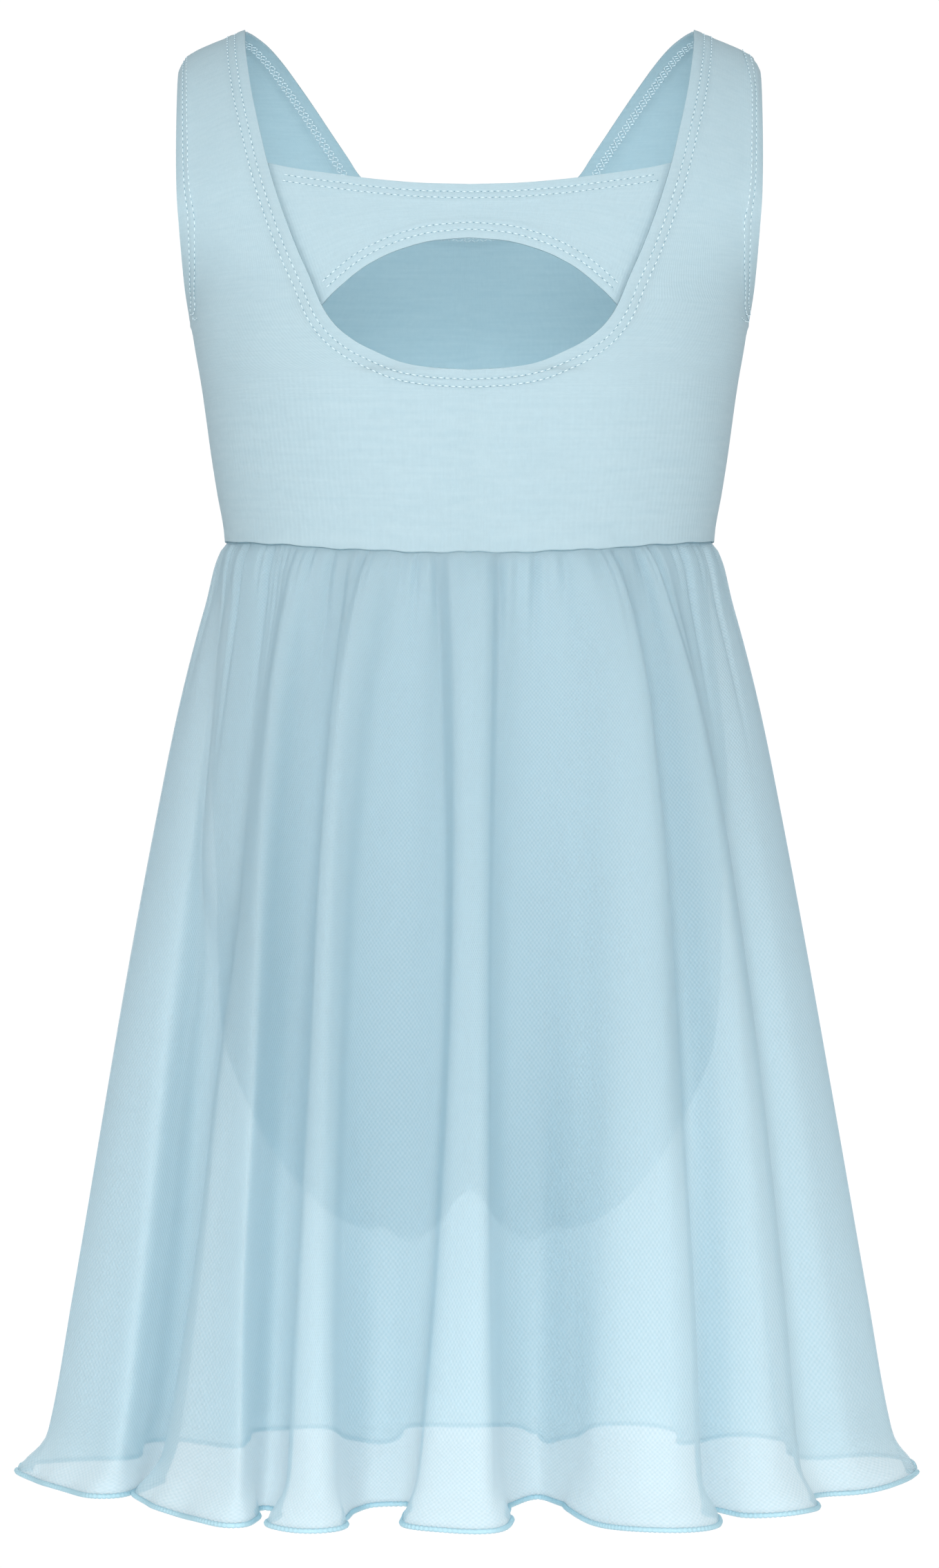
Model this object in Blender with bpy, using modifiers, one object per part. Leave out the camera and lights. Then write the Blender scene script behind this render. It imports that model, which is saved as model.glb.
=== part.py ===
"""Child's sleeveless ballet dress, filled out as if worn, with no wearer.

Jersey bodice with wide straps, a band bridging the scooped back, a gathered
chiffon skirt and the jersey brief under it.  +Z is up, the back of the dress
faces -Y, and the origin is midway between the shoulder seams, where the straps
would lie on the shoulders.  Working units are millimetres.
"""

import math

import bmesh
import bpy

MM = 0.001

# Cloth and seams
JERSEY_WALL = 1.4
BAND_WALL = 1.2
BRIEF_WALL = 1.2
CHIFFON_WALL = 1.0
SEAM_GAP = 0.3
SIDE_SEAM_HALF = 0.36
SHOULDER_SEAM_HALF = 0.5
CROTCH_SEAM_HALF = 0.7
SKIRT_SEAM_HALF = 0.35

# Heights below the shoulder line
SHOULDER_LEVEL = 0.8
UNDERARM_LEVEL = -105.0
WAIST_LEVEL = -203.5
HEM_LEVEL = -575.0
BACK_WAIST_DIP = 6.8
FRONT_WAIST_DIP = 2.5

# Body form
BODY_ROUNDNESS = 2.4
CHEST_DEPTH = 75.0
WAIST_HALF_WIDTH = 95.2
WAIST_DEPTH = 64.5
SKIRT_ROUNDNESS = 2.3
SKIRT_MID = 196.0
SKIRT_LENGTH = 369.5

# The smooth cone that the folds stand on: half width and depth at the waist, halfway down and at the hem
SKIRT_CONE = ((WAIST_HALF_WIDTH, WAIST_DEPTH), (141.0, 98.0), (176.0, 112.0))

# level, depth of the body form from the side seam to the centre
BODY_DEPTHS = ((-215, 65.3), (-204, 66.0), (-180, 69.5), (-150, 73.4), (-126, 74.8), (-105, 75.0))

# level, half width of the form, half width at the side seam or armhole edge
BODY_WIDTHS = (
    (-215, 97.0, 97.0), (-204, 97.2, 97.2), (-183, 100.4, 100.4), (-161, 103.8, 103.8),
    (-139, 107.0, 107.0), (-117, 110.7, 110.7), (-112, 111.4, 111.4), (-108.5, 112.4, 111.7),
    (-104, 114.9, 111.8), (-98, 118.3, 111.9), (-90, 123.3, 112.1), (-80, 129.4, 112.6),
    (-62, 140.0, 113.6), (-38, 146.0, 114.3), (-18, 150.0, 114.7), (1, 152.0, 115.2),
)

# half width, fall of the shoulder seam below the neck end
SHOULDER_FALL = ((0, 0), (87, 0), (94.5, 2.4), (103.3, 5.8), (109.6, 8.8), (112.9, 11.8), (115.3, 16.5))

# level, half width of the neckline
BACK_SCOOP = (
    (-140.2, 0), (-139.3, 15), (-137.2, 26.5), (-133.4, 35.9), (-129.0, 44.4), (-122.4, 52.2),
    (-115.5, 56.8), (-105.0, 61.2), (-92.0, 66.9), (-76.0, 72.8), (-58.8, 78.0), (-42.0, 82.0),
    (-28.0, 85.0), (-16.0, 87.0), (-8.0, 88.2), (-3.0, 88.7), (-0.3, 88.9), (0.8, 89.0),
)
FRONT_NECK = (
    (-69.5, 0), (-68.7, 12), (-66.6, 21), (-62.6, 29), (-57.2, 37), (-49.5, 45.6), (-43.7, 49.6),
    (-35.0, 55.8), (-25.3, 62.7), (-16.0, 69.7), (-8.0, 76.3), (-3.2, 81.4), (-0.4, 86.0), (0.8, 88.9),
)

# half width, lower edge level, upper edge level of the band across the back
BAND_EDGES = (
    (0.0, -89.8, -68.6), (0.2, -90.8, -68.1), (0.4, -94.0, -66.6), (0.6, -99.8, -64.2),
    (0.8, -109.6, -61.3), (0.9, -115.8, -59.2), (1.0, -123.0, -57.0),
)
BAND_LOWER_HALF = 64.0
BAND_UPPER_HALF = 85.6

# distance below the waist seam, half width of the skirt's silhouette
SKIRT_SIDES = (
    (0, 95.2), (11, 100.4), (33, 107.3), (67, 115.8), (111, 124.7), (166, 135.0), (232, 146.7),
    (298, 158.3), (353, 168.6), (369.5, 175.0),
)

# distance below the waist seam, share there of a fold's depth halfway down and of its depth at the hem,
# and how far in a valley can go before it would meet the brief
FOLD_GROWTH = (
    (0, 0, 0, 0.05), (12, 0.24, 0, 0.7), (30, 0.52, 0, 2.6), (65, 0.8, 0, 6.5), (120, 0.92, 0.06, 12),
    (196, 0.8, 0.2, 60), (280, 0.4, 0.6, 200), (369.5, 0, 1, 500),
)

# angle at the waist, x and y halfway down, x and y at the hem
SKIRT_FOLDS_BACK = (
    (-90, -141, -2, -176, 10), (-86, -139, -22, -170, -14), (-82, -131, -41, -157, -38),
    (-77, -120, -52, -142, -60), (-72, -113, -45, -134, -46), (-67, -109, -38, -128, -19),
    (-61, -103.5, -39, -121, -16), (-55, -100.5, -49, -122, -32), (-49, -100.5, -61, -125, -50),
    (-44, -95, -77, -118, -83), (-40, -85, -90, -101, -114), (-37, -78.5, -91, -88, -131),
    (-34, -75, -84, -83, -113), (-31, -71, -80, -80, -92), (-28, -65, -82, -74, -92),
    (-25.5, -61, -89, -70.5, -101), (-23.5, -60, -98, -70.5, -120), (-21.5, -58.5, -106, -69.5, -134),
    (-19, -53, -108, -61, -143), (-16, -48.5, -103, -52, -139), (-13.5, -45.5, -95, -49, -114),
    (-11, -37, -91, -41, -85), (-8, -22, -91, -28, -84), (-6, -12, -93, -21.5, -88),
    (-4.5, -9, -100, -22, -108), (-2.5, -7, -109, -21.5, -131), (0.5, -0.5, -111.5, -8, -141),
    (3.5, 6, -108.5, 7.5, -142), (5.5, 8.5, -99, 10.5, -119), (9, 16, -93, 13, -83),
    (15, 32, -93, 27, -64), (20, 43, -98, 39, -88), (24.5, 53, -106, 48.5, -122),
    (27.5, 64, -108.5, 62, -139), (30, 73, -105.5, 78, -143), (32, 77, -97, 88.5, -132),
    (34, 78, -86.5, 88.5, -109), (37, 84, -79, 89.5, -90), (40, 95, -81.5, 103, -103),
    (42.5, 104.5, -80, 118, -104), (45.5, 111, -70, 130.5, -87), (50, 112, -57, 130.5, -66),
    (58, 117, -49.5, 138, -52), (68, 129, -41, 156, -42), (80, 138, -22, 169, -14),
    (90, 141, -2, 176, 10),
)
SKIRT_FOLDS_FRONT = (
    (97, 139, 16, 172, 34), (104, 129, 30, 158, 48), (111, 118, 36, 138, 46),
    (117, 112, 50, 130, 62), (123, 108, 66, 133, 84), (130, 98, 80, 121, 104),
    (137, 84, 83, 99, 100), (143, 75, 86, 88, 92), (149, 68, 97, 88, 116),
    (155, 58, 107, 77, 137), (161, 46, 105, 57, 137), (167, 37, 95, 44, 110),
    (172, 27, 93, 33, 92), (177, 18, 100, 27, 112), (182, 8, 110, 17, 139),
    (188, -5, 112, -4, 146), (194, -18, 105, -22, 134), (200, -28, 95, -29, 104),
    (206, -38, 93, -38, 90), (212, -50, 99, -52, 106), (218, -60, 103, -66, 130),
    (224, -72, 97, -85, 126), (230, -80, 86, -92, 100), (236, -88, 79, -96, 80),
    (242, -101, 76, -116, 88), (248, -110, 64, -134, 82), (254, -113, 46, -134, 58),
    (260, -124, 33, -143, 42), (266, -137, 17, -168, 34),
)

# angle at the waist, depth of the gather, how far down it runs
GATHERS = (
    (-85, 2.2, 40), (-73, 1.6, 26), (-62.2, 2.6, 46), (-50, 2.4, 36), (-41.5, 1.4, 20), (-30, 2.0, 30),
    (-21.5, 2.6, 50), (-12.5, 1.4, 22), (-9, 1.2, 16), (-5, 2.2, 34), (-1.8, 1.8, 24), (5, 2.8, 60),
    (8.8, 1.8, 26), (12.6, 2.0, 30), (19, 2.0, 26), (25.5, 1.4, 20), (32, 2.8, 56), (38.5, 1.6, 26),
    (44.2, 2.6, 50), (56, 2.2, 40), (70, 2.4, 44), (84, 2.0, 36), (98, 2.0, 34), (109, 2.4, 44),
    (118, 1.8, 26), (127, 2.4, 40), (136, 1.6, 22), (144, 2.6, 48), (152, 1.8, 26), (159, 2.2, 34),
    (166, 1.6, 22), (172, 2.4, 42), (178, 1.8, 28), (185, 2.4, 38), (191, 1.6, 20), (198, 2.6, 50),
    (205, 1.8, 26), (213, 2.2, 34), (221, 2.6, 46), (230, 1.8, 26), (239, 2.4, 42), (249, 1.8, 28),
    (260, 2.4, 40),
)
GATHER_SPREAD = 2.2

# level of the section at the centre and at the side seam, half width, depth
BRIEF_SECTIONS_BACK = ((-204.4, -204.4, 93.4, 62.6), (-250, -240, 96.5, 67.5), (-325, -292, 102.5, 78.0))
BRIEF_SECTIONS_FRONT = ((-204.4, -204.4, 93.4, 62.6), (-250, -240, 96.5, 66.0), (-320, -292, 102.5, 70.5))
# share of the half panel, then x, y, z on the lower seat, on the underside, and on the leg edge
# or crotch seam
BRIEF_BACK_EDGE = (
    (0.0, 0, -70, -412, 0, -37, -455, 0, 0, -456),
    (0.08, 8, -73, -413, 5, -40, -459, 5, 0, -456),
    (0.16, 15, -77, -415, 12, -45, -469, 11, 0, -457),
    (0.3, 29, -80, -416, 24, -51, -475, 20, 0, -459),
    (0.42, 42, -79, -414, 35, -57, -466, 26, -28, -468),
    (0.52, 52, -73, -410, 45, -62, -450, 37, -46, -472),
    (0.62, 63, -63, -403, 58, -61, -442, 52, -55, -466),
    (0.72, 74, -52, -392, 72, -55, -427, 69, -53, -450),
    (0.82, 84, -42, -377, 85, -44, -405, 84, -42, -427),
    (0.92, 97.2, -25, -356, 97, -25, -380, 96, -23, -400),
    (1.0, 100.5, 0, -332, 100.5, 0, -357, 99.5, 0, -380),
)
BRIEF_FRONT_EDGE = (
    (0.0, 0, 60, -395, 0, 34, -447, 0, 0, -456),
    (0.16, 15, 61, -396, 13, 35, -448, 11, 0, -457),
    (0.3, 29, 61, -395, 26, 36, -447, 20, 0, -459),
    (0.42, 42, 60, -391, 36, 44, -435, 26, 22, -455),
    (0.52, 52, 57, -386, 43, 50, -424, 34, 38, -447),
    (0.62, 63, 53, -380, 54, 53, -411, 45, 48, -437),
    (0.72, 74, 47, -372, 66, 50, -399, 59, 50, -425),
    (0.82, 84, 38, -362, 80, 42, -388, 75, 43, -412),
    (0.92, 97.2, 23, -348, 96.6, 25, -372, 95, 26, -396),
    (1.0, 100.5, 0, -332, 100.5, 0, -357, 99.5, 0, -380),
)

# Levels of the rows of each panel, and distances of the skirt's rows below the seam
BACK_ROWS = (0.8, -0.3, -2.5, -7, -14, -26, -42, -60, -78, -92, -101, -107, -112, -122, -131, -136.5,
             -139.2, -140.2, -160, -182, -203.5)
FRONT_ROWS = (0.8, -0.3, -2.5, -7, -14, -25.3, -38, -49.5, -58, -64, -68, -69.5, -80, -92, -101, -107,
              -112, -142, -172, -203.5)
SKIRT_ROWS = (0, 8, 20, 38, 65, 105, 155, 215, 290, 369.5)
COLUMNS_PER_FOLD_LINE = 3


def blend(table, at, column):
    """Value of one column of a table at a place along its first column, joined smoothly."""
    last = len(table) - 1
    if at <= table[0][0]:
        return table[0][column]
    if at >= table[last][0]:
        return table[last][column]
    i = 0
    while table[i + 1][0] < at:
        i += 1

    def slope(k):
        return (table[k + 1][column] - table[k][column]) / (table[k + 1][0] - table[k][0])

    def tangent(k):
        if k == 0:
            return slope(0)
        if k == last:
            return slope(last - 1)
        before, after = slope(k - 1), slope(k)
        if before * after <= 0:
            return 0.0
        return 2 * before * after / (before + after)

    span = table[i + 1][0] - table[i][0]
    t = (at - table[i][0]) / span
    a, b = table[i][column], table[i + 1][column]
    ta, tb = tangent(i) * span, tangent(i + 1) * span
    return ((2 * t ** 3 - 3 * t ** 2 + 1) * a + (t ** 3 - 2 * t ** 2 + t) * ta
            + (3 * t ** 2 - 2 * t ** 3) * b + (t ** 3 - t ** 2) * tb)


def spline(points, at):
    """Point on a smooth curve through a list of points, counted along the list."""
    i = max(0, min(len(points) - 2, int(math.floor(at))))
    t = at - i
    p1, p2 = points[i], points[i + 1]
    p0 = points[i - 1] if i > 0 else [2 * a - b for a, b in zip(p1, p2)]
    p3 = points[i + 2] if i + 2 < len(points) else [2 * b - a for a, b in zip(p1, p2)]
    return [0.5 * (2 * b + (c - a) * t + (2 * a - 5 * b + 4 * c - d) * t * t
                   + (3 * b - a - 3 * c + d) * t ** 3)
            for a, b, c, d in zip(p0, p1, p2, p3)]


def power(value, exponent):
    return math.copysign(abs(value) ** exponent, value)


def body_depth(level):
    if level > UNDERARM_LEVEL:
        rise = (level - UNDERARM_LEVEL) / (SHOULDER_LEVEL - UNDERARM_LEVEL)
        return CHEST_DEPTH * max(0.0, 1 - min(1.0, rise) ** 1.6) ** 0.6
    return blend(BODY_DEPTHS, level, 1)


def waist_level(x, facing):
    dip = BACK_WAIST_DIP if facing < 0 else FRONT_WAIST_DIP
    return WAIST_LEVEL - dip * max(0.0, 1 - (x / 97.0) ** 2)


def body_point(level, share, inner_half, facing, inset=0.0):
    """Point of a bodice panel: share 0 at the neckline or centre, 1 at the side or armhole."""
    form = blend(BODY_WIDTHS, level, 1) - inset
    edge = min(blend(BODY_WIDTHS, level, 2) - inset, form)
    start = math.asin(min(1.0, (inner_half / form) ** (BODY_ROUNDNESS / 2)))
    stop = math.asin(min(1.0, (edge / form) ** (BODY_ROUNDNESS / 2)))
    angle = start + (stop - start) * share
    x = form * power(math.sin(angle), 2 / BODY_ROUNDNESS)
    y = (body_depth(level) - inset) * power(max(0.0, math.cos(angle)), 2 / BODY_ROUNDNESS)
    ease = min(1.0, max(0.0, (level - UNDERARM_LEVEL) / 70))
    z = level - blend(SHOULDER_FALL, x, 1) * ease * ease * (3 - 2 * ease)
    clear = SHOULDER_SEAM_HALF if level > -5 else SIDE_SEAM_HALF
    return x, facing * (max(0.0, y) + clear), z


def bodice_panel(neckline, levels, facing):
    def place(u, v):
        level = levels[int(round(v * (len(levels) - 1)))]
        neck = blend(neckline, level, 1)
        x = body_point(level, u, neck, facing)[0]
        fall = min(1.0, max(0.0, (-112.0 - level) / (-112.0 - WAIST_LEVEL)))
        return body_point(level + (waist_level(x, facing) - WAIST_LEVEL) * fall ** 2, u, neck, facing)

    return place


def band_place(u, v):
    """Band across the back, lying just inside the edge of the scoop."""
    half = abs(2 * u - 1)
    lower = blend(BAND_EDGES, half, 1)
    upper = blend(BAND_EDGES, half, 2)
    level = upper + (lower - upper) * v
    x = half * (BAND_UPPER_HALF + (BAND_LOWER_HALF - BAND_UPPER_HALF) * v)
    inset = JERSEY_WALL + SEAM_GAP
    form = blend(BODY_WIDTHS, level, 1) - inset
    y = (body_depth(level) - inset - 0.2) * (1 - (x / form) ** BODY_ROUNDNESS) ** (1 / BODY_ROUNDNESS)
    return math.copysign(x, 2 * u - 1), -y, level


def on_cone(ring, x, y):
    """Point of one ring of the smooth cone, in the same direction from its middle as x, y."""
    half_width, depth = SKIRT_CONE[ring]
    reach = (abs(x) / half_width) ** SKIRT_ROUNDNESS + (abs(y) / depth) ** SKIRT_ROUNDNESS
    reach **= 1 / SKIRT_ROUNDNESS
    return x / reach, y / reach


def fold_lines():
    """Each fold line: its points on the smooth cone at three rings, its depths off it, its waist angle."""
    lines = []
    for angle, mid_x, mid_y, hem_x, hem_y in SKIRT_FOLDS_BACK + SKIRT_FOLDS_FRONT:
        turn = math.radians(angle)
        waist = (WAIST_HALF_WIDTH * power(math.sin(turn), 2 / SKIRT_ROUNDNESS),
                 -WAIST_DEPTH * power(math.cos(turn), 2 / SKIRT_ROUNDNESS))
        middle, hem = on_cone(1, mid_x, mid_y), on_cone(2, hem_x, hem_y)
        lines.append((waist, middle, hem, (mid_x - middle[0], mid_y - middle[1]),
                      (hem_x - hem[0], hem_y - hem[1]), angle))
    return lines


def skirt_point(lines, along, drop):
    """Point of the skirt: along counts the fold lines round it, drop is the distance down."""
    middle, end = SKIRT_MID, SKIRT_LENGTH
    weights = ((drop - middle) * (drop - end) / (middle * end),
               drop * (drop - end) / (middle * (middle - end)),
               drop * (drop - middle) / (end * (end - middle)))
    grown, grown_hem, room = (blend(FOLD_GROWTH, drop, k) for k in (1, 2, 3))

    def line_point(index):
        line = lines[index % len(lines)]
        x, y = (sum(w * p[k] for w, p in zip(weights, line)) for k in (0, 1))
        fold_x, fold_y = (grown * line[3][k] + grown_hem * line[4][k] for k in (0, 1))
        held = 1.0
        if fold_x * x + fold_y * y < 0:
            held = (1 + (math.hypot(fold_x, fold_y) / room) ** 3) ** (-1 / 3)
        return x + held * fold_x, y + held * fold_y, line[5] + 360 * (index // len(lines))

    first = int(math.floor(along))
    near = [line_point(first + k) for k in (-1, 0, 1, 2)]
    x, y, angle = spline(near, 1 + along - first)
    fullness = blend(SKIRT_SIDES, drop, 1) / line_point(SEAM_RIGHT)[0]
    x *= fullness
    y *= fullness
    pull = 0.0
    for place, depth, run in GATHERS:
        away = (angle - place + 180) % 360 - 180
        if abs(away) < 4 * GATHER_SPREAD and drop < 2.2 * run:
            start = min(1.0, drop / 7)
            fade = max(0.0, 1 - drop / (2.2 * run)) ** 1.6
            pull += depth * start * fade * math.exp(-(away / GATHER_SPREAD) ** 2)
    out = math.hypot(x / 97 ** 2, y / 66 ** 2)
    x -= pull * x / 97 ** 2 / out
    y -= pull * y / 66 ** 2 / out
    facing = -1 if y < 0 else 1
    top = waist_level(x * 97 / blend(SKIRT_SIDES, drop, 1), facing) - SEAM_GAP
    z = top + (HEM_LEVEL - top) * drop / SKIRT_LENGTH
    return x, y, z


SEAM_RIGHT = len(SKIRT_FOLDS_BACK) - 1


def skirt_panel(lines, first, last):
    def trimmed(along, drop, direction):
        here = skirt_point(lines, along, drop)
        ahead = skirt_point(lines, along + 0.1 * direction, drop)
        return along + direction * 0.1 * SKIRT_SEAM_HALF / math.dist(here, ahead)

    def place(u, v):
        drop = SKIRT_ROWS[int(round(v * (len(SKIRT_ROWS) - 1)))]
        start, stop = trimmed(first, drop, 1), trimmed(last, drop, -1)
        return skirt_point(lines, start + u * (stop - start), drop)

    return place


def brief_panel(sections, edges, facing):
    def place(u, v):
        side = 2 * u - 1
        half = abs(side)
        turn = math.radians(90 * half)
        path = []
        for centre, seam, width, depth in sections:
            x = width * power(math.sin(turn), 2 / SKIRT_ROUNDNESS)
            y = facing * (depth * power(max(0.0, math.cos(turn)), 2 / SKIRT_ROUNDNESS) + SIDE_SEAM_HALF)
            z = centre + (seam - centre) * half ** 2
            if not path:
                z += waist_level(x, facing) - WAIST_LEVEL
            path.append((x, y, z))
        for first in (1, 4, 7):
            path.append(tuple(blend(edges, half, first + k) for k in range(3)))
        x, y, z = spline(path, v * (len(path) - 1))
        y = facing * max(CROTCH_SEAM_HALF if half < 0.35 else SIDE_SEAM_HALF, facing * y)
        return math.copysign(x, side), y, z

    return place


def cloth(name, columns, rows, place, wall, material, inside, mirror=False):
    """Open sheet from a grid moved into place, then thickened towards the inside."""
    form = bmesh.new()
    bmesh.ops.create_grid(form, x_segments=columns, y_segments=rows, size=1)
    for vertex in form.verts:
        x, y, z = place((vertex.co.x + 1) / 2, (1 - vertex.co.y) / 2)
        vertex.co = (x * MM, y * MM, z * MM)
    form.normal_update()
    outward = sum(f.normal.dot(f.calc_center_median() - inside(f.calc_center_median())) for f in form.faces)
    if outward < 0:
        bmesh.ops.reverse_faces(form, faces=form.faces)
    mesh = bpy.data.meshes.new(name)
    form.to_mesh(mesh)
    form.free()
    mesh.shade_smooth()
    mesh.materials.append(material)
    piece = bpy.data.objects.new(name, mesh)
    dress.objects.link(piece)
    if mirror:
        halves = piece.modifiers.new("Halves", "MIRROR")
        halves.use_axis = (True, False, False)
        halves.use_mirror_merge = True
        halves.merge_threshold = 0.00005
    thick = piece.modifiers.new("Cloth", "SOLIDIFY")
    thick.thickness = wall * MM
    thick.offset = -1
    thick.use_even_offset = False
    thick.use_quality_normals = True
    return piece


def centre_line(point):
    return type(point)((0, 0, point.z))


def cloth_material(name, colour, roughness, alpha=1.0):
    material = bpy.data.materials.new(name)
    material.use_nodes = True
    shader = material.node_tree.nodes["Principled BSDF"]
    shader.inputs["Base Color"].default_value = (*colour, 1)
    shader.inputs["Roughness"].default_value = roughness
    shader.inputs["Metallic"].default_value = 0
    shader.inputs["Alpha"].default_value = alpha
    return material


for old in list(bpy.data.objects):
    bpy.data.objects.remove(old)

dress = bpy.data.collections.new("ballet_dress")
bpy.context.scene.collection.children.link(dress)

back_jersey = cloth_material("back jersey", (0.55, 0.72, 0.79), 0.85)
front_jersey = cloth_material("front jersey", (0.52, 0.70, 0.77), 0.85)
band_jersey = cloth_material("band jersey", (0.54, 0.71, 0.78), 0.85)
back_chiffon = cloth_material("back chiffon", (0.50, 0.68, 0.78), 0.7, 0.8)
front_chiffon = cloth_material("front chiffon", (0.50, 0.67, 0.77), 0.7, 0.8)
back_brief = cloth_material("back brief jersey", (0.53, 0.71, 0.78), 0.85)
front_brief = cloth_material("front brief jersey", (0.52, 0.70, 0.77), 0.85)

cloth("bodice_back", 9, len(BACK_ROWS) - 1, bodice_panel(BACK_SCOOP, BACK_ROWS, -1), JERSEY_WALL,
      back_jersey, centre_line, mirror=True)
cloth("bodice_front", 9, len(FRONT_ROWS) - 1, bodice_panel(FRONT_NECK, FRONT_ROWS, 1), JERSEY_WALL,
      front_jersey, centre_line, mirror=True)
cloth("back_band", 16, 2, band_place, BAND_WALL, band_jersey, centre_line)

skirt_lines = fold_lines()
ring = len(skirt_lines)
cloth("skirt_back", SEAM_RIGHT * COLUMNS_PER_FOLD_LINE, len(SKIRT_ROWS) - 1,
      skirt_panel(skirt_lines, 0, SEAM_RIGHT), CHIFFON_WALL, back_chiffon, centre_line)
cloth("skirt_front", (ring - SEAM_RIGHT) * COLUMNS_PER_FOLD_LINE, len(SKIRT_ROWS) - 1,
      skirt_panel(skirt_lines, SEAM_RIGHT, ring), CHIFFON_WALL, front_chiffon, centre_line)

cloth("brief_back", 20, 8, brief_panel(BRIEF_SECTIONS_BACK, BRIEF_BACK_EDGE, -1), BRIEF_WALL,
      back_brief, centre_line)
cloth("brief_front", 20, 8, brief_panel(BRIEF_SECTIONS_FRONT, BRIEF_FRONT_EDGE, 1), BRIEF_WALL,
      front_brief, centre_line)
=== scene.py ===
import math
import random

import bmesh
import bpy
from mathutils import Matrix, Vector, noise
from mathutils.kdtree import KDTree


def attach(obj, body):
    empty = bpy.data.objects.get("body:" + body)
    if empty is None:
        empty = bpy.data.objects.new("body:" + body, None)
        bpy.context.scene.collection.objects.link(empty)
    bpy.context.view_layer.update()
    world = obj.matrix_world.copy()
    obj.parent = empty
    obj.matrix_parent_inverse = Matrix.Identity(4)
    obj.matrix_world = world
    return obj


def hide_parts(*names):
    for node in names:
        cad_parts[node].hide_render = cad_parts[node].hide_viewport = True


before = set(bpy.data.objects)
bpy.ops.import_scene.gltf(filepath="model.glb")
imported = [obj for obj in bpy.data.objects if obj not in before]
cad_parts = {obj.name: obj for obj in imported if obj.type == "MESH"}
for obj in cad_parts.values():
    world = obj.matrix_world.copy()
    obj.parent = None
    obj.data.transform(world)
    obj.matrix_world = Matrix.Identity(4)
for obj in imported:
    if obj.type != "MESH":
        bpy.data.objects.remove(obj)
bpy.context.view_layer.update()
random.seed(7)
mm = 0.001

# camera
view = {"distance": 1.9, "height": -0.2993, "frameHeight": 0.62425, "sensor": 24}
camera = bpy.data.objects.new("camera", bpy.data.cameras.new("camera"))
camera.data.sensor_fit = "VERTICAL"
camera.data.sensor_height = view["sensor"]
camera.data.lens = view["sensor"] * view["distance"] / view["frameHeight"]
camera.location = (0, -view["distance"], view["height"])
camera.rotation_euler = (math.pi / 2, 0, 0)
bpy.context.collection.objects.link(camera)
bpy.context.scene.camera = camera
print("camera placed")

# the form of the dress, in millimetres; all round shapes below come from these
body = {
    "roundness": 2.4, "chestDepth": 75.0, "shoulder": 0.8, "underarm": -105.0, "waist": -203.5,
    "backDip": 6.8, "frontDip": 2.5, "sideGap": 0.04, "shoulderGap": 0.04, "wall": 1.1,
    # level, depth from the side seam to the middle
    "depths": ((-215, 65.3), (-204, 66.0), (-180, 69.5), (-150, 73.4), (-126, 74.8), (-105, 75.0)),
    # level, half width of the form, half width at the side seam or armhole edge
    "widths": (
        (-215, 97.0, 97.0), (-204, 97.2, 97.2), (-183, 100.4, 100.4), (-161, 103.8, 103.8),
        (-139, 107.0, 107.0), (-117, 110.7, 110.7), (-112, 111.4, 111.4), (-108.5, 112.4, 111.7),
        (-104, 114.9, 111.8), (-98, 118.3, 111.9), (-90, 123.3, 112.1), (-80, 129.4, 112.6),
        (-62, 140.0, 113.6), (-38, 146.0, 114.3), (-18, 150.0, 114.7), (1, 152.0, 115.2)),
    # half width, fall of the shoulder seam below its neck end
    "shoulderFall": ((0, 0), (87, 0), (94.5, 2.4), (103.3, 5.8), (109.6, 8.8), (112.9, 11.8), (115.3, 16.5)),
}
backScoop = (
    (-140.2, 0), (-139.3, 15), (-137.2, 26.5), (-133.4, 35.9), (-129.0, 44.4), (-122.4, 52.2),
    (-115.5, 56.8), (-105.0, 61.2), (-92.0, 66.9), (-76.0, 72.8), (-58.8, 78.0), (-42.0, 82.0),
    (-28.0, 85.0), (-16.0, 87.0), (-8.0, 88.2), (-3.0, 88.7), (-0.3, 88.9), (0.8, 89.0))
frontNeck = (
    (-69.5, 0), (-68.7, 12), (-66.6, 21), (-62.6, 29), (-57.2, 37), (-49.5, 45.6), (-43.7, 49.6),
    (-35.0, 55.8), (-25.3, 62.7), (-16.0, 69.7), (-8.0, 76.3), (-3.2, 81.4), (-0.4, 86.0), (0.8, 88.9))


def blend(table, at, column):
    last = len(table) - 1
    if at <= table[0][0]:
        return table[0][column]
    if at >= table[last][0]:
        return table[last][column]
    i = 0
    while table[i + 1][0] < at:
        i += 1
    slopes = [(table[k + 1][column] - table[k][column]) / (table[k + 1][0] - table[k][0])
              for k in range(max(0, i - 1), min(last, i + 2))]
    here = slopes[i - max(0, i - 1)]
    before = slopes[0] if i > 0 else here
    after = slopes[-1] if i + 1 < last else here
    ta = 2 * before * here / (before + here) if before * here > 0 else 0
    tb = 2 * after * here / (after + here) if after * here > 0 else 0
    span = table[i + 1][0] - table[i][0]
    t = (at - table[i][0]) / span
    a, b = table[i][column], table[i + 1][column]
    return ((2 * t ** 3 - 3 * t ** 2 + 1) * a + (t ** 3 - 2 * t ** 2 + t) * ta * span
            + (3 * t ** 2 - 2 * t ** 3) * b + (t ** 3 - t ** 2) * tb * span)


def spline(points, at):
    i = max(0, min(len(points) - 2, int(math.floor(at))))
    t = at - i
    p1, p2 = points[i], points[i + 1]
    p0 = points[i - 1] if i > 0 else [2 * a - b for a, b in zip(p1, p2)]
    p3 = points[i + 2] if i + 2 < len(points) else [2 * b - a for a, b in zip(p1, p2)]
    return [0.5 * (2 * b + (c - a) * t + (2 * a - 5 * b + 4 * c - d) * t * t
                   + (3 * b - a - 3 * c + d) * t ** 3)
            for a, b, c, d in zip(p0, p1, p2, p3)]


def ease(t):
    t = min(1.0, max(0.0, t))
    return t * t * (3 - 2 * t)


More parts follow.
